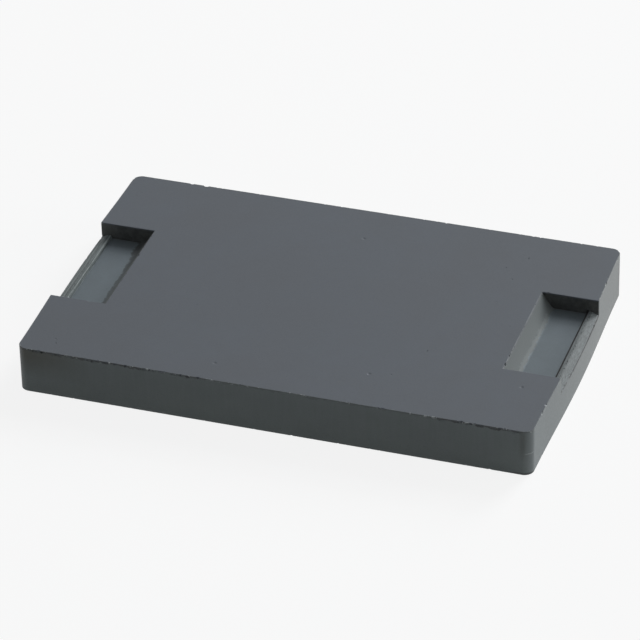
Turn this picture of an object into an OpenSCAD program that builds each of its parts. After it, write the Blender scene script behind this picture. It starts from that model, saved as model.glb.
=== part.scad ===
// Planar ferrite core plate: the flat closing piece (I core) of a planar core set.
// It is one pressed, sintered and ground solid with a clip recess in each short end.
// X runs along the plate and Y across it. The ground mating face lies at Z = 0.

/* [Plate] */
// Length between the two short end faces
plate_l = 43.2; // [30:0.1:65]
// Width between the two long side faces
plate_w = 27.9; // [18:0.1:50]
// Thickness from the mating face to the top face
plate_t = 4.1; // [3:0.1:6]

/* [Edges] */
// Radius of the four upright corners
corner_r = 0.8; // [0.4:0.1:2]
// Leg of the small chamfer round the top and bottom faces
edge_leg = 0.08; // [0.04:0.01:0.2]

/* [Clip recess] */
// Length of each recess along the top face, in from the end face
recess_l = 4.75; // [4:0.05:7]
// Width of each recess between its upright side walls
recess_w = 11.7; // [6:0.1:15]
// Depth of the recess floor below the top face
recess_d = 1.4; // [1:0.05:1.8]
// Lean of the recess's inner end wall from upright, in degrees
wall_lean = 33; // [20:1:45]
// Radius of the fillet where that wall meets the floor
root_r = 0.5; // [0.1:0.05:0.6]

/* [Clip lip] */
// Length of the lip along the plate, from its inner foot to the end face
lip_l = 0.9; // [0.6:0.05:1.4]
// Height of the lip's crest above the recess floor
lip_h = 0.28; // [0.15:0.01:0.5]
// Lean of the lip's inner face from upright, in degrees
lip_lean = 15; // [5:1:30]
// Length of the flat crest of the lip
crest_l = 0.3; // [0.1:0.05:0.4]
// Fall of the lip's outer slope from the crest to the end face
lip_fall = 0.26; // [0.1:0.01:0.4]

/* [Hidden] */
$fn = 96;
// Overshoot of the cutting shapes past the faces that they cut
over = 1;
end_x = plate_l / 2;
side_y = plate_w / 2;
floor_z = plate_t - recess_d;
// Foot of the leaning wall, where it would meet the floor without the fillet
wall_foot_x = end_x - recess_l + recess_d * tan(wall_lean);
// Distance from that foot to each of the fillet's two tangent points
root_t = root_r / tan(45 + wall_lean / 2);
lip_foot_x = end_x - lip_l;
crest_x = lip_foot_x + lip_h * tan(lip_lean);
crest_z = floor_z + lip_h;
// Fall of the lip's outer slope for each millimetre towards the end face
slope = lip_fall / (end_x - crest_x - crest_l);
ferrite = [0.37, 0.39, 0.41];

// Half of a section with chamfered corners, from its mid line out to half_w
module chamfered_half(half_w) {
    polygon([
        [0, 0],
        [half_w - edge_leg, 0],
        [half_w, edge_leg],
        [half_w, plate_t - edge_leg],
        [half_w - edge_leg, plate_t],
        [0, plate_t]
    ]);
}

// Whole chamfered section of a bar, standing on Z = 0 in the XY plane of extrusion
module chamfered_section(half_w) {
    chamfered_half(half_w);
    mirror([1, 0]) chamfered_half(half_w);
}

// Bar along Y that fills the plate between its corner posts, out to the end faces
module end_bar() {
    bar_w = plate_w - 2 * corner_r;
    translate([0, bar_w / 2, 0]) rotate([90, 0, 0]) linear_extrude(bar_w) chamfered_section(end_x);
}

// Bar along X that fills the plate between its corner posts, out to the side faces
module side_bar() {
    bar_l = plate_l - 2 * corner_r;
    translate([-bar_l / 2, 0, 0]) rotate([90, 0, 90]) linear_extrude(bar_l) chamfered_section(side_y);
}

// Round post that makes one upright corner, with the chamfer running round it
module corner_post() {
    rotate_extrude() chamfered_half(corner_r);
}

// Plate without its recesses
module blank() {
    end_bar();
    side_bar();
    for (sx = [-1, 1], sy = [-1, 1])
        translate([sx * (end_x - corner_r), sy * (side_y - corner_r), 0]) corner_post();
}

// Section of the space over the recess floor and the lip, drawn in X and Z
module recess_outline() {
    polygon([
        [wall_foot_x - (recess_d + over) * tan(wall_lean), plate_t + over],
        [wall_foot_x, floor_z],
        [lip_foot_x, floor_z],
        [crest_x, crest_z],
        [crest_x + crest_l, crest_z],
        [end_x + over, crest_z - slope * (end_x + over - crest_x - crest_l)],
        [end_x + over, plate_t + over]
    ]);
}

// Ferrite left in the angle between the leaning wall and the floor by the fillet
module root_fillet() {
    centre = [wall_foot_x + root_t, floor_z + root_r];
    difference() {
        polygon([
            [wall_foot_x, floor_z],
            [wall_foot_x + root_t, floor_z],
            centre,
            [wall_foot_x - root_t * sin(wall_lean), floor_z + root_t * cos(wall_lean)]
        ]);
        translate(centre) circle(root_r);
    }
}

// Cutter for the recess in the +X end
module recess() {
    translate([0, recess_w / 2, 0]) rotate([90, 0, 0]) linear_extrude(recess_w) difference() {
        recess_outline();
        root_fillet();
    }
}

// The whole core plate
module plate_core() {
    color(ferrite) difference() {
        blank();
        recess();
        mirror([1, 0, 0]) recess();
    }
}

plate_core();
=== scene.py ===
"""Looks of a planar ferrite core plate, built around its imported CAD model.

The plate is one sintered and ground ferrite solid. It is made again here as a finer mesh with slightly bowed
short ends, rounded working edges, chips and pits, and it gets a procedural ferrite material.
Lengths are written in millimetres times MM, so every object is in metres.
"""
import math
import random

import bmesh
import bpy
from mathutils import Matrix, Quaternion, Vector


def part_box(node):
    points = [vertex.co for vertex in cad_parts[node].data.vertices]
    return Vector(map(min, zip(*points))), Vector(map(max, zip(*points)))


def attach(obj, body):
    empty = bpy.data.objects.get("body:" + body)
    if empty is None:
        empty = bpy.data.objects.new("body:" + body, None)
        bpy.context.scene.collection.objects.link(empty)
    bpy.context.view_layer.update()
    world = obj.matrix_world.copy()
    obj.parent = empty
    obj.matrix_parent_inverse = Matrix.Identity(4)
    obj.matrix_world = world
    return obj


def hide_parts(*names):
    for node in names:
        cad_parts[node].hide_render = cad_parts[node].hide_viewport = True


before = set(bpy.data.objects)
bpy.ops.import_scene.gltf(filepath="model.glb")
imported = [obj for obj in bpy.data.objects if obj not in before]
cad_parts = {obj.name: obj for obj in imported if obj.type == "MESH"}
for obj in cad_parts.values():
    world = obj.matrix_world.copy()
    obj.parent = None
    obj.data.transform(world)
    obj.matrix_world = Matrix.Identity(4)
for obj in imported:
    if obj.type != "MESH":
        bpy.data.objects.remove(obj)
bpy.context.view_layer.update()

MM = 0.001
NODE = "plate_core"

# The plate, from the upper corner of its box in the frame
plate_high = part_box(NODE)[1]
END_X = plate_high.x
SIDE_Y = plate_high.y
TOP_Z = plate_high.z
CORNER_R = 0.8 * MM
CORNER_STEPS = 32
# The short ends are a little bowed: this far out of their flat plane at the middle, and in at the corners
BOW_OUT = 0.16 * MM
BOW_IN = 0.10 * MM
BOW_SHIFT = (BOW_OUT - BOW_IN) / 2
BOW_SWING = (BOW_OUT + BOW_IN) / 2
BOW_STEPS = 26
# The clip recess and its lip, as in the CAD source
RECESS_L = 4.75 * MM
RECESS_W = 11.7 * MM
RECESS_D = 1.4 * MM
WALL_LEAN = math.radians(33)
ROOT_R = 0.5 * MM
ROOT_STEPS = 20
LIP_L = 0.9 * MM
LIP_H = 0.28 * MM
LIP_LEAN = math.radians(15)
CREST_L = 0.3 * MM
LIP_FALL = 0.26 * MM
FLOOR_Z = TOP_Z - RECESS_D
# Cutting shapes run this far past the faces that they cut
OVER = 1 * MM
# Outward edges that turn by more than this are rounded and knocked, the width that is rounded, and its steps
SHARP_TURN = math.radians(12)
EDGE_W = 0.04 * MM
EDGE_SEGMENTS = 3
# Points closer than this are joined, and so are faces that turn by less than this
WELD = 0.0005 * MM
FLAT_TURN = math.radians(0.1)
# Worn groove at the foot of the +X lip: how far it eats into the floor and the lip, and its depth
GROOVE_OUT = 0.03 * MM
GROOVE_IN = 0.10 * MM
GROOVE_D = 0.06 * MM
# Stretches of the front top edge that knocks have roughened, from one X to another
FRAYED = ((-20.3 * MM, -6.5 * MM), (14.0 * MM, 20.3 * MM))
# Flakes that overlap are cut in passes, each of separate flakes
FLAKE_PASSES = 3
FLAKE_SPACING = 0.4 * MM
# How far a flake's middle lies out of the front face and under the top edge, and its radii along X, Y and Z,
# all in millimetres
FLAKE_OUT = (0, 0.03)
FLAKE_DROP = (0.02, 0.12)
FLAKE_RADII = ((0.15, 0.45), (0.07, 0.13), (0.12, 0.24))
# A cutting stone's points lie this share of its radii from its middle. It takes up a ball this much wider
# than its longest radius, and no two balls in one cutter may touch
JAG = (0.72, 1.12)
CLEAR = 1.15
# A chip's length, its depth and how far its middle lies out of the edge, all for its width, and how much it
# tilts and turns
CHIP_LONG = (1.0, 2.2)
CHIP_DEEP = (0.7, 1.0)
CHIP_OUT = (-0.1, 0.45)
CHIP_TILT = 0.6
CHIP_TURN = 0.5
# Chips by kind: how far apart they are, and the smallest and the largest radius
FINE_CHIPS = (0.5 * MM, (0.06 * MM, 0.12 * MM))
LIP_CHIPS = (0.35 * MM, (0.05 * MM, 0.11 * MM))
LARGE_CHIPS = (6 * MM, (0.12 * MM, 0.26 * MM))
# Seed of the draws that place and shape the chips, the flakes, the pits and the scuff's stone
SEED = 43
# The larger dimples in the top face as X and Y, the radius of the ball that leaves them, and their depth
DIMPLES = ((0.4 * MM, 9.6 * MM), (6.9 * MM, -9.6 * MM), (19 * MM, -8 * MM), (-5.4 * MM, -11.6 * MM))
DIMPLE_R = 0.6 * MM
DIMPLE_D = 0.035 * MM
# Small pits spread over the top face by chance: how many, their sizes in millimetres, the share of the length
# and the width that they keep to, how far a pit's middle lies out of the face, and its radii for its size
PIT_COUNT = 22
PIT_SIZES = (0.06, 0.15)
PIT_SPREAD = (0.94, 0.92)
PIT_OUT = 0.5
PIT_RADII = (1.3, 1, 0.9)
# Scuff across the front right corner: its height, how far out of the corner its stone's middle lies, and the
# stone's radii
SCUFF_Z = 2.05 * MM
SCUFF_OUT = 0.02 * MM
SCUFF_RADII = (0.34 * MM, 0.05 * MM, 0.07 * MM)


# ---------------------------------------------------------------- solids

def arc(centre, radius, start, end, steps):
    """Points on a circular arc, with both ends."""
    turns = [start + (end - start) * i / steps for i in range(steps + 1)]
    return [(centre[0] + radius * math.cos(t), centre[1] + radius * math.sin(t)) for t in turns]


def bow(y):
    """How far a short end stands out of its flat plane at a place across the plate."""
    return BOW_SHIFT + BOW_SWING * math.cos(math.pi * y / SIDE_Y)


def plate_outline():
    """Plan outline of the plate, counter-clockwise, with its rounded corners and bowed ends."""
    points = []
    for quarter, (sx, sy) in enumerate([(1, 1), (-1, 1), (-1, -1), (1, -1)]):
        centre = (sx * (END_X - CORNER_R), sy * (SIDE_Y - CORNER_R))
        start = quarter * math.pi / 2
        if sx == sy:
            reach = SIDE_Y - CORNER_R
            points += [(sx * END_X, sy * reach * (2 * i / BOW_STEPS - 1)) for i in range(1, BOW_STEPS)]
        points += arc(centre, CORNER_R, start, start + math.pi / 2, CORNER_STEPS)
    return [(x + math.copysign(1, x) * bow(y), y) for x, y in points]


def recess_outline():
    """Section of the +X recess in X and Z: leaning wall, root fillet, floor, lip and the open end."""
    foot_x = END_X - RECESS_L + RECESS_D * math.tan(WALL_LEAN)
    tangent = ROOT_R / math.tan(math.pi / 4 + WALL_LEAN / 2)
    centre = (foot_x + tangent, FLOOR_Z + ROOT_R)
    fillet = arc(centre, ROOT_R, math.pi + WALL_LEAN, 1.5 * math.pi, ROOT_STEPS)
    lip_x = END_X - LIP_L
    crest_x = lip_x + LIP_H * math.tan(LIP_LEAN)
    crest_z = FLOOR_Z + LIP_H
    ramp_x = crest_x + CREST_L
    slope = LIP_FALL / (END_X - ramp_x)
    wall_top = (END_X - RECESS_L - OVER * math.tan(WALL_LEAN), TOP_Z + OVER)
    lip = [(lip_x, FLOOR_Z), (crest_x, crest_z), (ramp_x, crest_z)]
    end = [(END_X + OVER, crest_z - slope * (END_X + OVER - ramp_x)), (END_X + OVER, TOP_Z + OVER)]
    return [wall_top] + fillet + lip + end


def prism(outline, place, low, high):
    """Closed mesh of an outline swept from low to high. place(u, v, w) gives a point's x, y and z."""
    bm = bmesh.new()
    rings = [[bm.verts.new(place(u, v, w)) for u, v in outline] for w in (low, high)]
    bm.faces.new(rings[0][::-1])
    bm.faces.new(rings[1])
    for i in range(len(outline)):
        j = (i + 1) % len(outline)
        bm.faces.new([rings[0][i], rings[0][j], rings[1][j], rings[1][i]])
    bmesh.ops.recalc_face_normals(bm, faces=bm.faces)
    mesh = bpy.data.meshes.new("prism")
    bm.to_mesh(mesh)
    bm.free()
    return mesh


def linked(name, data):
    """Object in the scene that shows a mesh, a lamp or a camera."""
    obj = bpy.data.objects.new(name, data)
    bpy.context.scene.collection.objects.link(obj)
    return obj


def carve(mesh, cutter):
    """The mesh with the closed cutter mesh taken out of it."""
    body = linked("body", mesh)
    tool = linked("tool", cutter)
    cut = body.modifiers.new("cut", "BOOLEAN")
    cut.operation = "DIFFERENCE"
    cut.solver = "MANIFOLD"
    cut.object = tool
    shaped = bpy.data.meshes.new_from_object(body.evaluated_get(bpy.context.evaluated_depsgraph_get()))
    bpy.data.objects.remove(body)
    bpy.data.objects.remove(tool)
    return shaped


def blank_plate():
    """The plate with both recesses and sharp edges."""
    mesh = prism(plate_outline(), lambda u, v, w: (u, v, w), 0, TOP_Z)
    for side in (1, -1):
        section = lambda u, v, w, side=side: (side * u, w, v)
        mesh = carve(mesh, prism(recess_outline(), section, -RECESS_W / 2, RECESS_W / 2))
    return mesh


def sharp_edges(bm):
    """The outward edges that a tool or a knock would wear: (edge, first normal, second normal)."""
    found = []
    for edge in bm.edges:
        if len(edge.link_faces) == 2 and edge.calc_face_angle_signed() > SHARP_TURN:
            found.append((edge, edge.link_faces[0].normal.copy(), edge.link_faces[1].normal.copy()))
    return found


# ---------------------------------------------------------------- chips and pits

def stone(bm, centre, axes, radii, rng):
    """One small jagged cutting stone."""
    made = bmesh.ops.create_icosphere(bm, subdivisions=1, radius=1)["verts"]
    for vert in made:
        reach = rng.uniform(*JAG)
        vert.co = centre + sum((axes[i] * vert.co[i] * radii[i] * reach for i in range(3)), Vector())


class Stones:
    """Closed mesh of many separate cutting stones."""

    def __init__(self):
        self.bm = bmesh.new()
        self.taken = []

    def place(self, centre, axes, radii, rng):
        """Add a stone, unless it would touch another one."""
        reach = max(radii) * CLEAR
        if any((centre - other).length < reach + far for other, far in self.taken):
            return
        self.taken.append((centre, reach))
        stone(self.bm, centre, axes, radii, rng)

    def along(self, edges, kind, rng):
        """Chips of one kind along edges."""
        spacing, sizes = kind
        for start, end, first, second in edges:
            run = (end - start).normalized()
            for _ in range(int((end - start).length / spacing + rng.random())):
                size = sizes[0] + (sizes[1] - sizes[0]) * rng.random() ** 3
                stretch = rng.uniform(*CHIP_LONG)
                spot = start + (end - start) * rng.random()
                tilt = (first - second) * rng.uniform(-CHIP_TILT, CHIP_TILT)
                lean = ((first + second).normalized() + tilt).normalized()
                centre = spot + lean * size * rng.uniform(*CHIP_OUT)
                twist = Quaternion(lean, rng.uniform(-CHIP_TURN, CHIP_TURN))
                axes = [twist @ run, twist @ lean.cross(run).normalized(), lean]
                radii = (size * stretch, size, size * rng.uniform(*CHIP_DEEP))
                self.place(centre, axes, radii, rng)

    def scoop(self, low, high, rng):
        """Shallow flakes lost from the front face just under its top edge, from X = low to X = high."""
        axes = [Vector((1, 0, 0)), Vector((0, 1, 0)), Vector((0, 0, 1))]
        for _ in range(int((high - low) / FLAKE_SPACING)):
            x = rng.uniform(low, high)
            y = -SIDE_Y - rng.uniform(*FLAKE_OUT) * MM
            z = TOP_Z - rng.uniform(*FLAKE_DROP) * MM
            radii = [rng.uniform(*span) * MM for span in FLAKE_RADII]
            self.place(Vector((x, y, z)), axes, radii, rng)

    def dimple(self, x, y):
        """A smooth shallow dimple in the top face. Stones that are placed after it keep clear of it."""
        made = bmesh.ops.create_icosphere(self.bm, subdivisions=3, radius=DIMPLE_R)["verts"]
        centre = Vector((x, y, TOP_Z + DIMPLE_R - DIMPLE_D))
        bmesh.ops.translate(self.bm, verts=made, vec=centre)
        self.taken.append((centre, DIMPLE_R * CLEAR))

    def pit(self, spot, out, size, rng):
        """A shallow pit in a flat face."""
        side = out.orthogonal().normalized()
        centre = spot + out * size * PIT_OUT
        self.place(centre, [side, out.cross(side), out], [size * share for share in PIT_RADII], rng)

    def mesh(self):
        """The stones as one mesh. Nothing can be added after it."""
        mesh = bpy.data.meshes.new("stones")
        self.bm.to_mesh(mesh)
        self.bm.free()
        return mesh


def groove():
    """Cutter for the worn groove at the foot of the +X lip."""
    low_x, high_x = END_X - LIP_L - GROOVE_OUT, END_X - LIP_L + GROOVE_IN
    low_z, high_z = FLOOR_Z - GROOVE_D, FLOOR_Z + LIP_H + OVER
    outline = [(low_x, low_z), (high_x, low_z), (high_x, high_z), (low_x, high_z)]
    half = RECESS_W / 2 + GROOVE_OUT
    return prism(outline, lambda u, v, w: (u, w, v), -half, half)


def knocks(edges):
    """The cutters for all the chips, flakes, dimples and pits, and for the scuff."""
    rng = random.Random(SEED)
    up = Vector((0, 0, 1))
    small = Stones()
    small.along(edges, FINE_CHIPS, rng)
    flakes = [Stones() for _ in range(FLAKE_PASSES)]
    for stones in flakes:
        for low, high in FRAYED:
            stones.scoop(low, high, rng)
    large = Stones()
    for x, y in DIMPLES:
        large.dimple(x, y)
    # The lips' long edges, then every edge but those of the underside
    crosswise = [edge for edge in edges if abs(edge[0].y - edge[1].y) > OVER / 2]
    lips = [edge for edge in crosswise if FLOOR_Z < edge[0].z < TOP_Z - OVER]
    large.along(lips, LIP_CHIPS, rng)
    upper = [edge for edge in edges if edge[0].z > OVER]
    large.along(upper, LARGE_CHIPS, rng)
    for _ in range(PIT_COUNT):
        x = rng.uniform(-END_X, END_X) * PIT_SPREAD[0]
        y = rng.uniform(-SIDE_Y, SIDE_Y) * PIT_SPREAD[1]
        if abs(x) < END_X - RECESS_L - OVER or abs(y) > RECESS_W / 2 + OVER:
            large.pit(Vector((x, y, TOP_Z)), up, rng.uniform(*PIT_SIZES) * MM, rng)
    corner = Vector((END_X - CORNER_R + bow(SIDE_Y), -SIDE_Y + CORNER_R, SCUFF_Z))
    out = Vector((1, -1, 0)).normalized()
    across = Vector((1, 1, 0)).normalized()
    large.place(corner + out * (CORNER_R + SCUFF_OUT), [across, up, out], SCUFF_RADII, rng)
    return [stones.mesh() for stones in [small, large] + flakes]


def core_mesh():
    """The finished plate: its edges rounded, then the groove, the chips and the pits taken out of it."""
    bm = bmesh.new()
    bm.from_mesh(blank_plate())
    bmesh.ops.remove_doubles(bm, verts=bm.verts, dist=WELD)
    bmesh.ops.dissolve_limit(bm, angle_limit=FLAT_TURN, verts=bm.verts, edges=bm.edges)
    bm.normal_update()
    found = sharp_edges(bm)
    edges = [(e.verts[0].co.copy(), e.verts[1].co.copy(), a, b) for e, a, b in found]
    bmesh.ops.bevel(bm, geom=[e for e, _, _ in found], offset=EDGE_W, segments=EDGE_SEGMENTS, profile=0.5,
                    affect="EDGES", clamp_overlap=True, loop_slide=False)
    mesh = bpy.data.meshes.new("core")
    bm.to_mesh(mesh)
    bm.free()
    for cutter in [groove()] + knocks(edges):
        mesh = carve(mesh, cutter)
    return mesh


# ---------------------------------------------------------------- colours and marks

def grey(level, warm=0.0, cool=0.0):
    """Linear colour of an 8-bit sRGB screen grey. Warm is added to its red and cool to its blue."""
    values = [level + warm, level, level + cool]
    return [(v / 255 / 12.92 if v < 10.3 else ((v / 255 + 0.055) / 1.055) ** 2.4) for v in values] + [1.0]


# Ground top face, and the specks and clouds in all of the ferrite
GROUND_DARK = grey(96, -5, 7)
GROUND_PALE = grey(98, -6, 8)
CLOUD = grey(90, -4, 3)
PALE_GRAIN = grey(118, -3, 4)
DARK_GRAIN = grey(70, -2, 2)
# Pressed sides and ends, with painted bounce light on the sides and painted light on the ends
SIDE_DARK = grey(112, -8, -1)
SIDE_PALE = grey(115, -7, 0)
SIDE_BOUNCE_LIGHT = grey(136, -7, -2)
LEFT_DARK_PATCH = grey(76, -1, -8)
RIGHT_DARK_BAND = grey(78, -3, -4)
END_FRONT_SHADED = grey(104, -7, 2)
END_BACK_LIT = grey(117, -3, 0)
# Lips, with painted highlights on the -X lip
LEFT_LIP_DULL = grey(100, -7, 0)
LEFT_LIP_BRIGHT = grey(156, -8, 0)
RIGHT_LIP_DULL = grey(90, -6, 0)
RIGHT_LIP_BRIGHT = grey(126, -6, 2)
LIP_SEAM = grey(84, -6, 0)
LIP_HIGHLIGHT = grey(188, -8, -2)
# Recesses, with painted shadow, shade and light
FLOOR = grey(126, -10, 6)
FLOOR_BACK_SHADOW = grey(70, -3, -4)
FLOOR_GLOOM = grey(58, -3, 1)
WALL_HIGH = grey(91, -6, 1)
WALL_LOW = grey(98, -6, 1)
LEFT_STRIPE_SHADE = grey(92, -7, 2)
RIGHT_STRIPE = grey(114, -6, 1)
SHADED_BLOTCH_DARK = grey(54, -2, -2)
SHADED_BLOTCH_PALE = grey(78, -2, -2)
OUTER_WALL_LIGHT = grey(100, -3, -3)
# Marks of handling, and painted shade, shadow and reflection
TORN = grey(66, -3, 0)
SPECK = grey(176, -5, 0)
BRINK_SHADE = grey(82, -4, 2)
GROOVE_SHADOW = grey(12, 0, 1)
LIP_LINE = grey(40, -3, 1)
SCUFF = grey(160, -5, 0)
CORNER_FOOT_SHADOW = grey(50, -2, 0)
CORNER_REFLECTION = grey(168, -5, 0)

# Spans over which masks and marks come in or go out, in millimetres of the plate's own frame. For what both
# ends have, X is counted from the middle towards either end. It is plain X for the dark patch and band, the
# torn strip, the scuff and the marks at the corners.
SKIN_DEPTH = (0.03, 0.07)
RIM_DEPTH = (0.05, 0.12)
RIM_HEIGHT = (0.08, 0.16)
BELOW_TOP = (0.05, 0.12)
ABOVE_BASE = (0.5, 0.6)
FRONT_Y = (-13.5, -13.2)
MIDDLE_X = (-1.0, 1.0)
END_X_SPAN = (20.9, 21.5)
LIP_X_SPAN = (20.66, 20.72)
BOUNCE_LIGHT_Z = (0.2, 3.0)
LEFT_DARK_PATCH_X = (-20.5, -15.0)
LEFT_DARK_PATCH_Z = (1.4, 3.4)
RIGHT_DARK_BAND_Z = (1.2, 2.6)
END_LIGHT_Y = (-14.0, 14.0)
WALL_DROP = (0.2, 1.2)
WALL_X_SPAN = (17.75, 17.90)
GLOOM_X = (17.92, 18.08)
GLOOM_Y = (0.0, 4.5)
GLOOM_CREEP_Y = (0.5, 5.0)
BACK_SHADOW_Y = (4.2, 5.8)
OUTER_WALL_X = (19.8, 21.5)
SIDE_WALL_Y = (RECESS_W / 2 / MM - 0.06, RECESS_W / 2 / MM - 0.03)
TORN_DROP = (0.08, 0.16)
TORN_LEFT_X = (-9.0, -5.0)
RECESS_EDGE_Y = (5.80, 5.86)
BRINK_START = (0.002, 0.008)
BRINK_END = (0.06, 0.12)
GROOVE_DROP = (1.06, 1.10)
LIP_LINE_Y = (-6.0, 5.0)
SCUFF_X = (20.9, 21.0)
CORNER_FOOT_Z = (0.10, 0.28)
CORNER_FOOT_X = (19.6, 20.6)
CORNER_REFLECTION_X = (-21.38, -21.28)
CORNER_REFLECTION_Y = (-13.30, -13.22)
# Bands: their middle, how far they reach to each side of it and how far they fade beyond that, in millimetres
RIGHT_DARK_BAND_X = (20.75, 0.12, 0.25)
LIP_SEAM_X = (21.13, 0.04, 0.08)
INNER_HIGHLIGHT_X = (20.83, 0.02, 0.03)
OUTER_HIGHLIGHT_X = (21.34, 0.01, 0.03)
STRIPE_X = (17.77, 0.10, 0.08)
TORN_RIGHT_X = (17.0, 3.0, 1.0)
BRINK_X = (16.88, 0.07, 0.02)
GROOVE_X = (20.74, 0.10, 0.03)
LIP_LINE_Z = (2.64, 0.08, 0.05)
SCUFF_Z_BAND = (SCUFF_Z / MM - 0.06, 0.03, 0.03)
# Noise is used from one of these levels to the other, and is drawn out along an axis where its scale is small
NOISE_LEVELS = (0.25, 0.75)
DRAG_SCALES = (3.0, 3.0, 0.25)
FINE_COMB_SCALES = (24.0, 2.0, 24.0)
STREAK_SCALES = (11.0, 0.35, 11.0)
PATCH_SCALES = (1.0, 0.5, 1.0)
# Relief, roughness and the shader's constants
GRAIN_RELIEF = 0.6
FINE_RELIEF = 0.4
COMB_RELIEF = 1.5
BUMP_STRENGTH = 0.25
BUMP_DISTANCE = 0.02 * MM
ROUGHNESS = (0.48, 0.60)
RECESS_ROUGHER = 0.10
SIDE_SMOOTHER = 0.06
IOR = 1.6
SPECULAR = 0.25


# ---------------------------------------------------------------- material

class Nodes:
    """Short names for the nodes of one material or world."""

    def __init__(self, owner):
        owner.use_nodes = True
        self.tree = owner.node_tree
        self.tree.nodes.clear()

    def add(self, kind, settings=None, **inputs):
        """A node of that kind. An input is a number, a colour, a vector or another node's output."""
        node = self.tree.nodes.new(kind)
        for key, value in (settings or {}).items():
            setattr(node, key, value)
        for key, value in inputs.items():
            name = key.replace("_", " ")
            numbered = name[0] == "i" and name[1:].isdigit()
            self.feed(node.inputs[int(name[1:]) if numbered else name], value)
        return node

    def feed(self, socket, value):
        """Give a socket another node's output or a constant."""
        if isinstance(value, bpy.types.NodeSocket):
            self.tree.links.new(value, socket)
        else:
            socket.default_value = value

    def math(self, operation, a, b=0.0, c=0.0):
        """Result of one sum."""
        return self.add("ShaderNodeMath", {"operation": operation}, i0=a, i1=b, i2=c).outputs[0]

    def times(self, first, *others):
        """Product of several values."""
        for other in others:
            first = self.math("MULTIPLY", first, other)
        return first

    def noise(self, where, scale, detail=3.0, rough=0.5, span=None):
        """Noise from 0 to 1, or from -span to span."""
        settings = {"Scale": scale, "Detail": detail, "Roughness": rough}
        node = self.add("ShaderNodeTexNoise", None, Vector=where, **settings)
        if span is None:
            return node.outputs["Fac"]
        return self.ramp(node.outputs["Fac"], *NOISE_LEVELS, -span, span)

    def stretch(self, where, scales):
        """Coordinates scaled by another amount along each axis."""
        return self.add("ShaderNodeVectorMath", {"operation": "MULTIPLY"}, i0=where, i1=scales).outputs[0]

    def ramp(self, value, low, high, to_low=0.0, to_high=1.0):
        """To_low up to low, changing evenly to to_high at high."""
        node = self.add("ShaderNodeMapRange", {"clamp": True}, Value=value)
        for key, number in (("From Min", low), ("From Max", high), ("To Min", to_low), ("To Max", to_high)):
            node.inputs[key].default_value = number
        return node.outputs[0]

    def fade(self, value, low, high, top=1.0):
        """Top up to low, falling evenly to 0 at high."""
        return self.ramp(value, low, high, top, 0.0)

    def band(self, value, middle, half, soft):
        """1 within half of the middle, falling to 0 over soft."""
        off = self.math("ABSOLUTE", self.math("SUBTRACT", value, middle))
        return self.fade(off, half, half + soft)

    def mix(self, share, a, b):
        """Colour a where the share is 0, and colour b where it is 1."""
        node = self.add("ShaderNodeMix", {"data_type": "RGBA"})
        for index, value in ((0, share), (6, a), (7, b)):
            self.feed(node.inputs[index], value)
        return node.outputs[2]


class Regions:
    """Masks from 0 to 1 for the plate's surfaces, worked out in millimetres of the plate's own frame."""

    def __init__(self, n):
        place = n.add("ShaderNodeTexCoord").outputs["Object"]
        self.mm = n.add("ShaderNodeVectorMath", {"operation": "SCALE"}, i0=place, Scale=1 / MM).outputs[0]
        parts = n.add("ShaderNodeSeparateXYZ", None, Vector=self.mm).outputs
        self.along, self.across, self.z = parts["X"], parts["Y"], parts["Z"]
        self.x = n.math("ABSOLUTE", self.along)
        self.y = n.math("ABSOLUTE", self.across)
        self.drop = n.math("SUBTRACT", TOP_Z / MM, self.z)
        # How far in from the rounded outline
        turn = n.math("COSINE", n.math("MULTIPLY", self.y, math.pi / (SIDE_Y / MM)))
        out = n.math("MULTIPLY_ADD", turn, BOW_SWING / MM, BOW_SHIFT / MM)
        flat_x = n.math("SUBTRACT", self.x, out)
        past_x = n.math("MAXIMUM", n.math("SUBTRACT", flat_x, (END_X - CORNER_R) / MM), 0.0)
        past_y = n.math("MAXIMUM", n.math("SUBTRACT", self.y, (SIDE_Y - CORNER_R) / MM), 0.0)
        past = n.math("SQRT", n.math("ADD", n.times(past_x, past_x), n.times(past_y, past_y)))
        self.depth = n.math("SUBTRACT", CORNER_R / MM, past)
        # All upright sides, the stretch by the short ends, the front side, and the right and the left half
        self.side = n.fade(self.depth, *SKIN_DEPTH)
        self.end = n.ramp(self.x, *END_X_SPAN)
        self.front = n.times(self.side, n.fade(self.across, *FRONT_Y))
        self.right = n.ramp(self.along, *MIDDLE_X)
        self.left = n.math("SUBTRACT", 1.0, self.right)
        # Recesses, and the lips in them
        below = n.times(n.ramp(self.drop, *BELOW_TOP), n.ramp(self.z, *ABOVE_BASE))
        self.sunk = n.times(below, n.math("SUBTRACT", 1.0, self.side))
        self.lip = n.ramp(self.x, *LIP_X_SPAN)
        # Top and bottom edges of the outline
        near = n.math("MINIMUM", self.drop, self.z)
        self.rim = n.times(n.fade(near, *RIM_HEIGHT), n.fade(self.depth, *RIM_DEPTH))


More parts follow.
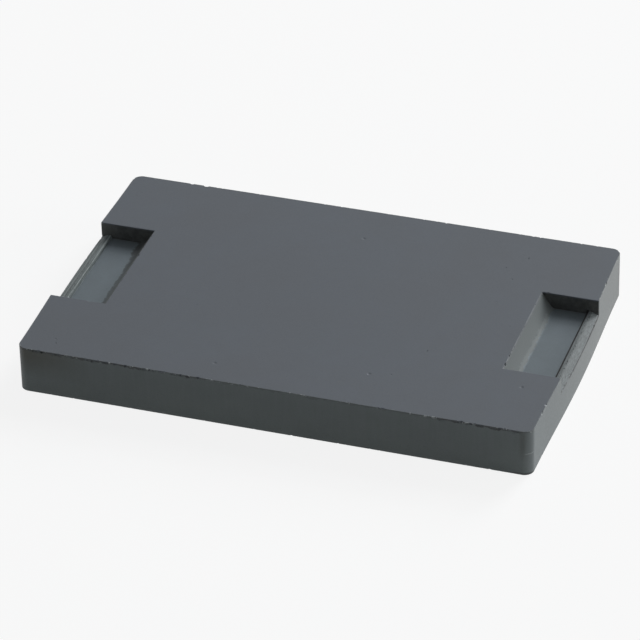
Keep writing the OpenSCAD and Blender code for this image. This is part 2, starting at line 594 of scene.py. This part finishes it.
def pressed_colour(n, r):
    """Sides left as pressed and fired: drag marks up the long sides, and painted bounce light that makes them
    paler towards the underside.
    """
    drag = n.noise(n.stretch(r.mm, DRAG_SCALES), scale=1.0, detail=3.0, rough=0.6)
    long_side = n.mix(n.ramp(drag, 0.35, 0.65), SIDE_DARK, SIDE_PALE)
    # Painted bounce light from the table: the long sides get paler towards the underside
    long_side = n.mix(n.fade(r.z, *BOUNCE_LIGHT_Z, top=0.6), long_side, SIDE_BOUNCE_LIGHT)
    # A darker patch at the front left corner, and a darker band where the front right corner starts to round
    dark_mark = n.times(n.fade(r.along, *LEFT_DARK_PATCH_X), n.ramp(r.z, *LEFT_DARK_PATCH_Z))
    long_side = n.mix(n.times(dark_mark, r.front), long_side, LEFT_DARK_PATCH)
    dark_mark = n.times(n.band(r.along, *RIGHT_DARK_BAND_X), n.ramp(r.z, *RIGHT_DARK_BAND_Z, to_high=0.5))
    long_side = n.mix(n.times(dark_mark, r.front), long_side, RIGHT_DARK_BAND)
    # Painted light: the end faces get lighter towards the back
    end_face = n.mix(n.ramp(r.across, *END_LIGHT_Y), END_FRONT_SHADED, END_BACK_LIT)
    return n.mix(r.end, long_side, end_face)


def lip_colour(n, r):
    """Lip combed along its length: its colour, and the comb for the relief."""
    fine_comb = n.noise(n.stretch(r.mm, FINE_COMB_SCALES), scale=1.0, detail=3.0, rough=0.65)
    streaks = n.noise(n.stretch(r.mm, STREAK_SCALES), scale=1.0, detail=3.0, rough=0.65)
    comb = n.mix(r.right, streaks, fine_comb)
    dull = n.mix(r.right, LEFT_LIP_DULL, RIGHT_LIP_DULL)
    bright = n.mix(r.right, LEFT_LIP_BRIGHT, RIGHT_LIP_BRIGHT)
    colour = n.mix(n.ramp(comb, 0.38, 0.62), dull, bright)
    # Dark seam along the middle, stronger on the +X lip
    seam = n.times(n.band(r.x, *LIP_SEAM_X), n.ramp(r.right, 0.0, 1.0, 0.15, 0.5))
    colour = n.mix(seam, colour, LIP_SEAM)
    # Painted highlights: two pale broken lines along the -X lip
    highlight_lines = n.math("MAXIMUM", n.band(r.x, *INNER_HIGHLIGHT_X), n.band(r.x, *OUTER_HIGHLIGHT_X))
    patchy = n.noise(n.stretch(r.mm, PATCH_SCALES), scale=1.3, detail=3.0, rough=0.6)
    highlight_share = n.times(highlight_lines, n.ramp(patchy, 0.35, 0.55, 0.35, 1.0), n.math("SUBTRACT", 0.95, r.right))
    return n.mix(highlight_share, colour, LIP_HIGHLIGHT), comb


def recess_colour(n, r):
    """Clip recess with its blotched side walls, darkened as painted shade, and its lip: its colour, and the
    lip's comb.
    """
    ragged = n.math("ADD", r.x, n.noise(r.mm, scale=2.0, detail=4.0, rough=0.6, span=0.16))
    # Inner wall and floor, with a ragged stripe where they meet, on the -X recess a painted shade at the foot
    # of the wall
    wall = n.mix(n.ramp(r.drop, *WALL_DROP), WALL_HIGH, WALL_LOW)
    colour = n.mix(n.fade(ragged, *WALL_X_SPAN), FLOOR, wall)
    stripe_and_shade = n.mix(r.right, LEFT_STRIPE_SHADE, RIGHT_STRIPE)
    middle = n.math("SUBTRACT", ragged, n.fade(r.right, 0.0, 1.0, top=0.12))
    colour = n.mix(n.band(middle, *STRIPE_X), colour, stripe_and_shade)
    # Unlit corner of the -X recess, between its wall and its back side wall
    reach = n.math("SUBTRACT", ragged, n.ramp(r.across, *GLOOM_CREEP_Y, to_high=0.35))
    gloom = n.times(n.fade(reach, *GLOOM_X), n.ramp(r.across, *GLOOM_Y, 0.15, 0.95))
    colour = n.mix(n.times(gloom, r.left), colour, FLOOR_GLOOM)
    # Painted shadow of the back side wall: both recesses darken towards it
    colour = n.mix(n.ramp(r.across, *BACK_SHADOW_Y, to_high=0.45), colour, FLOOR_BACK_SHADOW)
    lip, comb = lip_colour(n, r)
    colour = n.mix(r.lip, colour, lip)
    # Side walls: blotched, and darkened as painted shade. The outer part of the -X recess's ones is paler, as
    # painted light
    patches = n.noise(r.mm, scale=1.2, detail=3.0, rough=0.6)
    shaded_blotch = n.mix(n.ramp(patches, 0.4, 0.6), SHADED_BLOTCH_DARK, SHADED_BLOTCH_PALE)
    outer_light = n.times(n.ramp(r.x, *OUTER_WALL_X, to_high=0.6), r.left)
    shaded_blotch = n.mix(outer_light, shaded_blotch, OUTER_WALL_LIGHT)
    return n.mix(n.ramp(r.y, *SIDE_WALL_Y), colour, shaded_blotch), comb


def wear_and_painted_light(n, r, base):
    """Marks of handling on the base colour: torn and knocked edges, a dark line by the lips and a scuff. Also
    painted shade and shadow on the recess wall tops, in the +X lip's groove and at the front right corner's
    foot, and a painted reflection down the front left corner.
    """
    # Dark torn strip under the top edge at the front, worst towards both corners
    reach = n.math("SUBTRACT", r.drop, n.noise(r.mm, scale=1.1, detail=5.0, rough=0.75, span=0.26))
    torn = n.times(n.fade(reach, *TORN_DROP), r.front)
    where = n.math("MAXIMUM", n.ramp(r.along, *TORN_LEFT_X, 0.9, 0.3), n.band(r.along, *TORN_RIGHT_X))
    base = n.mix(n.times(torn, where), base, TORN)
    # Bright specks on the edges of the outline
    specks = n.ramp(n.noise(r.mm, scale=2.4, detail=3.0, rough=0.7), 0.59, 0.64)
    base = n.mix(n.times(specks, r.rim, 0.85), base, SPECK)
    # Painted shade on the top edges of the recess walls, so that they look no brighter than the walls
    within = n.fade(r.y, *RECESS_EDGE_Y)
    brink = n.times(n.band(r.x, *BRINK_X), n.ramp(r.drop, *BRINK_START), n.fade(r.drop, *BRINK_END, top=0.8))
    base = n.mix(n.times(brink, within), base, BRINK_SHADE)
    # Painted shadow: black in the groove along the +X lip
    shaded_foot = n.times(n.band(r.x, *GROOVE_X), n.times(r.right, r.sunk))
    base = n.mix(n.times(shaded_foot, n.ramp(r.drop, *GROOVE_DROP)), base, GROOVE_SHADOW)
    # Broken dark line under the outer edge of each lip
    breaks = n.noise(r.mm, scale=1.3, detail=4.0, rough=0.7)
    patchy = n.math("ADD", breaks, n.ramp(r.across, *LIP_LINE_Y, -0.08, 0.16))
    lip_line_and_reflection = n.times(n.band(r.z, *LIP_LINE_Z), n.ramp(patchy, 0.40, 0.50), within)
    base = n.mix(n.times(lip_line_and_reflection, r.side, 0.95), base, LIP_LINE)
    # Pale scuff across the front right corner
    scuff = n.times(n.band(r.z, *SCUFF_Z_BAND), n.ramp(r.along, *SCUFF_X), r.front)
    base = n.mix(n.times(scuff, 0.45), base, SCUFF)
    # Painted shadow at the foot of the front right corner, and a painted reflection down the front left one
    shaded_foot = n.times(n.fade(r.z, *CORNER_FOOT_Z, top=0.8), n.ramp(r.along, *CORNER_FOOT_X))
    base = n.mix(n.times(shaded_foot, r.front), base, CORNER_FOOT_SHADOW)
    lip_line_and_reflection = n.times(n.fade(r.along, *CORNER_REFLECTION_X, top=0.7), n.fade(r.across, *CORNER_REFLECTION_Y))
    return n.mix(n.times(lip_line_and_reflection, r.side), base, CORNER_REFLECTION)


def ferrite():
    """Sintered manganese-zinc ferrite. Ground faces are blue-grey, pressed faces lighter and greener."""
    material = bpy.data.materials.new("ferrite")
    n = Nodes(material)
    r = Regions(n)
    fine = n.noise(r.mm, scale=14.0, detail=2.0, rough=0.6)
    grain = n.noise(r.mm, scale=5.0, detail=4.0, rough=0.65)
    cloud = n.noise(r.mm, scale=0.35, detail=3.0, rough=0.55)
    drift = n.noise(r.mm, scale=0.16, detail=2.0, rough=0.5)

    # Colours
    ground = n.mix(n.ramp(drift, 0.35, 0.65), GROUND_DARK, GROUND_PALE)
    recess, comb = recess_colour(n, r)
    base = n.mix(r.side, n.mix(r.sunk, ground, recess), pressed_colour(n, r))
    base = n.mix(n.ramp(cloud, 0.3, 0.7, to_high=0.2), base, CLOUD)
    base = n.mix(n.ramp(grain, 0.55, 0.8, to_high=0.3), base, PALE_GRAIN)
    base = n.mix(n.fade(fine, 0.30, 0.42, top=0.30), base, DARK_GRAIN)
    base = wear_and_painted_light(n, r, base)

    # Relief and shader
    height = n.math("ADD", n.times(grain, GRAIN_RELIEF), n.times(fine, FINE_RELIEF))
    height = n.math("ADD", height, n.times(comb, r.lip, n.times(r.sunk, COMB_RELIEF)))
    bump = n.add("ShaderNodeBump", None, Strength=BUMP_STRENGTH, Distance=BUMP_DISTANCE, Height=height)
    rough = n.math("ADD", n.ramp(grain, 0.3, 0.7, *ROUGHNESS), n.times(r.sunk, RECESS_ROUGHER))
    rough = n.math("SUBTRACT", rough, n.times(r.side, SIDE_SMOOTHER))
    shader = n.add("ShaderNodeBsdfPrincipled", None, Base_Color=base, Roughness=rough,
                   Normal=bump.outputs[0])
    shader.inputs["IOR"].default_value = IOR
    shader.inputs["Specular IOR Level"].default_value = SPECULAR
    n.add("ShaderNodeOutputMaterial", None, Surface=shader.outputs[0])
    return material


# ---------------------------------------------------------------- stage

WHITE = (1, 1, 1, 1)
# Table: its reach in metres, how far under the plate it lies so that they don't touch, the colour that it
# lights the plate with, and how much of the white that is seen glows by itself
TABLE_REACH = 2.0
TABLE_DROP = 0.01 * MM
TABLE_COLOUR = (0.8, 0.8, 0.8, 1)
TABLE_GLOW = 0.86
# Room light
ROOM_COLOUR = (0.9, 0.95, 1.0, 1)
ROOM_LEVEL = 0.16
WARM_LIGHT = (1.0, 1.0, 0.98)
COOL_LIGHT = (0.97, 0.99, 1.0)
# Lamps: name, azimuth and elevation in degrees, distance and size in metres, level and colour
LAMPS = (
    ("right", 95, 5, 1.2, 0.4, 0.30, WARM_LIGHT),
    ("back_right", 120, 5, 0.25, 0.08, 0.37, WARM_LIGHT),
    ("back_low", 160, 25, 1.2, 0.4, 0.42, COOL_LIGHT),
    ("back_high", 160, 40, 1.2, 0.4, 0.30, COOL_LIGHT),
)
# Camera: what it looks at and how far away it is, in millimetres, its direction and roll, in degrees, its
# sensor and lens, in millimetres, and the nearest and farthest that it sees, in metres
CAMERA_AIM = (-0.275, -0.328, 2.079)
CAMERA_DISTANCE = 333.3
CAMERA_AZIMUTH = 18.74
CAMERA_ELEVATION = 33.15
CAMERA_ROLL = -1.30
SENSOR_WIDTH = 36.0
FOCAL_LENGTH = 228.8
CLIP_START = 0.01
CLIP_END = 20


def in_view(n):
    """1 for rays that show a surface to the camera, straight or by a reflection or through glass."""
    path = n.add("ShaderNodeLightPath").outputs
    bent = n.math("MAXIMUM", path["Is Glossy Ray"], path["Is Transmission Ray"])
    return n.math("MAXIMUM", path["Is Camera Ray"], bent)


def floor_material():
    """Pale table. The camera sees it as white paper with a soft shadow."""
    material = bpy.data.materials.new("table")
    n = Nodes(material)
    paper = n.add("ShaderNodeBsdfDiffuse", None, Color=TABLE_COLOUR)
    lit = n.add("ShaderNodeBsdfDiffuse", None, Color=WHITE)
    glow = n.add("ShaderNodeEmission", None, Color=WHITE, Strength=1.0)
    white = n.add("ShaderNodeMixShader", None, i0=TABLE_GLOW, i1=lit.outputs[0], i2=glow.outputs[0])
    both = n.add("ShaderNodeMixShader", None, i0=in_view(n), i1=paper.outputs[0], i2=white.outputs[0])
    n.add("ShaderNodeOutputMaterial", None, Surface=both.outputs[0])
    return material


def make_floor():
    """Flat table under the plate."""
    reach, z = TABLE_REACH, -TABLE_DROP
    corners = [(-reach, -reach, z), (reach, -reach, z), (reach, reach, z), (-reach, reach, z)]
    mesh = bpy.data.meshes.new("floor")
    mesh.from_pydata(corners, [], [(0, 1, 2, 3)])
    floor = linked("floor", mesh)
    floor.data.materials.append(floor_material())


def direction(azimuth, elevation):
    """Unit vector towards a place seen from the plate. Azimuth 0 is -Y and 90 is +X, in degrees."""
    a, e = math.radians(azimuth), math.radians(elevation)
    return Vector((math.sin(a) * math.cos(e), -math.cos(a) * math.cos(e), math.sin(e)))


def softbox(name, azimuth, elevation, distance, size, level, colour):
    """Square soft lamp aimed at the plate. level is how bright a white card facing it would look."""
    data = bpy.data.lights.new(name, "AREA")
    data.shape = "SQUARE"
    data.size = size
    data.energy = level * (math.pi * distance) ** 2
    data.color = colour
    lamp = linked(name, data)
    lamp.location = direction(azimuth, elevation) * distance
    lamp.rotation_mode = "QUATERNION"
    lamp.rotation_quaternion = direction(azimuth, elevation).to_track_quat("Z", "Y")


def make_world():
    """Dim even room light. The camera sees white."""
    world = bpy.data.worlds.new("room")
    n = Nodes(world)
    room = n.add("ShaderNodeBackground", None, Color=ROOM_COLOUR, Strength=ROOM_LEVEL)
    white = n.add("ShaderNodeBackground", None, Color=WHITE, Strength=1.0)
    both = n.add("ShaderNodeMixShader", None, i0=in_view(n), i1=room.outputs[0], i2=white.outputs[0])
    n.add("ShaderNodeOutputWorld", None, Surface=both.outputs[0])
    bpy.context.scene.world = world


def make_camera():
    """Long-lens camera, looking down from the front and a little from the right."""
    back = direction(CAMERA_AZIMUTH, CAMERA_ELEVATION)
    data = bpy.data.cameras.new("camera")
    data.sensor_width = SENSOR_WIDTH
    data.lens = FOCAL_LENGTH
    data.clip_start = CLIP_START
    data.clip_end = CLIP_END
    data.dof.use_dof = False
    camera = linked("camera", data)
    camera.location = Vector(CAMERA_AIM) * MM + back * CAMERA_DISTANCE * MM
    camera.rotation_mode = "QUATERNION"
    roll = Quaternion((0, 0, 1), math.radians(CAMERA_ROLL))
    camera.rotation_quaternion = back.to_track_quat("Z", "Y") @ roll
    bpy.context.scene.camera = camera


# ---------------------------------------------------------------- scene

make_camera()
make_world()
make_floor()
for lamp_row in LAMPS:
    softbox(*lamp_row)

plate = linked("core_plate", core_mesh())
plate.data.materials.clear()
plate.data.materials.append(ferrite())
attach(plate, "root")
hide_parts(NODE)

bpy.context.scene.view_settings.view_transform = "Standard"
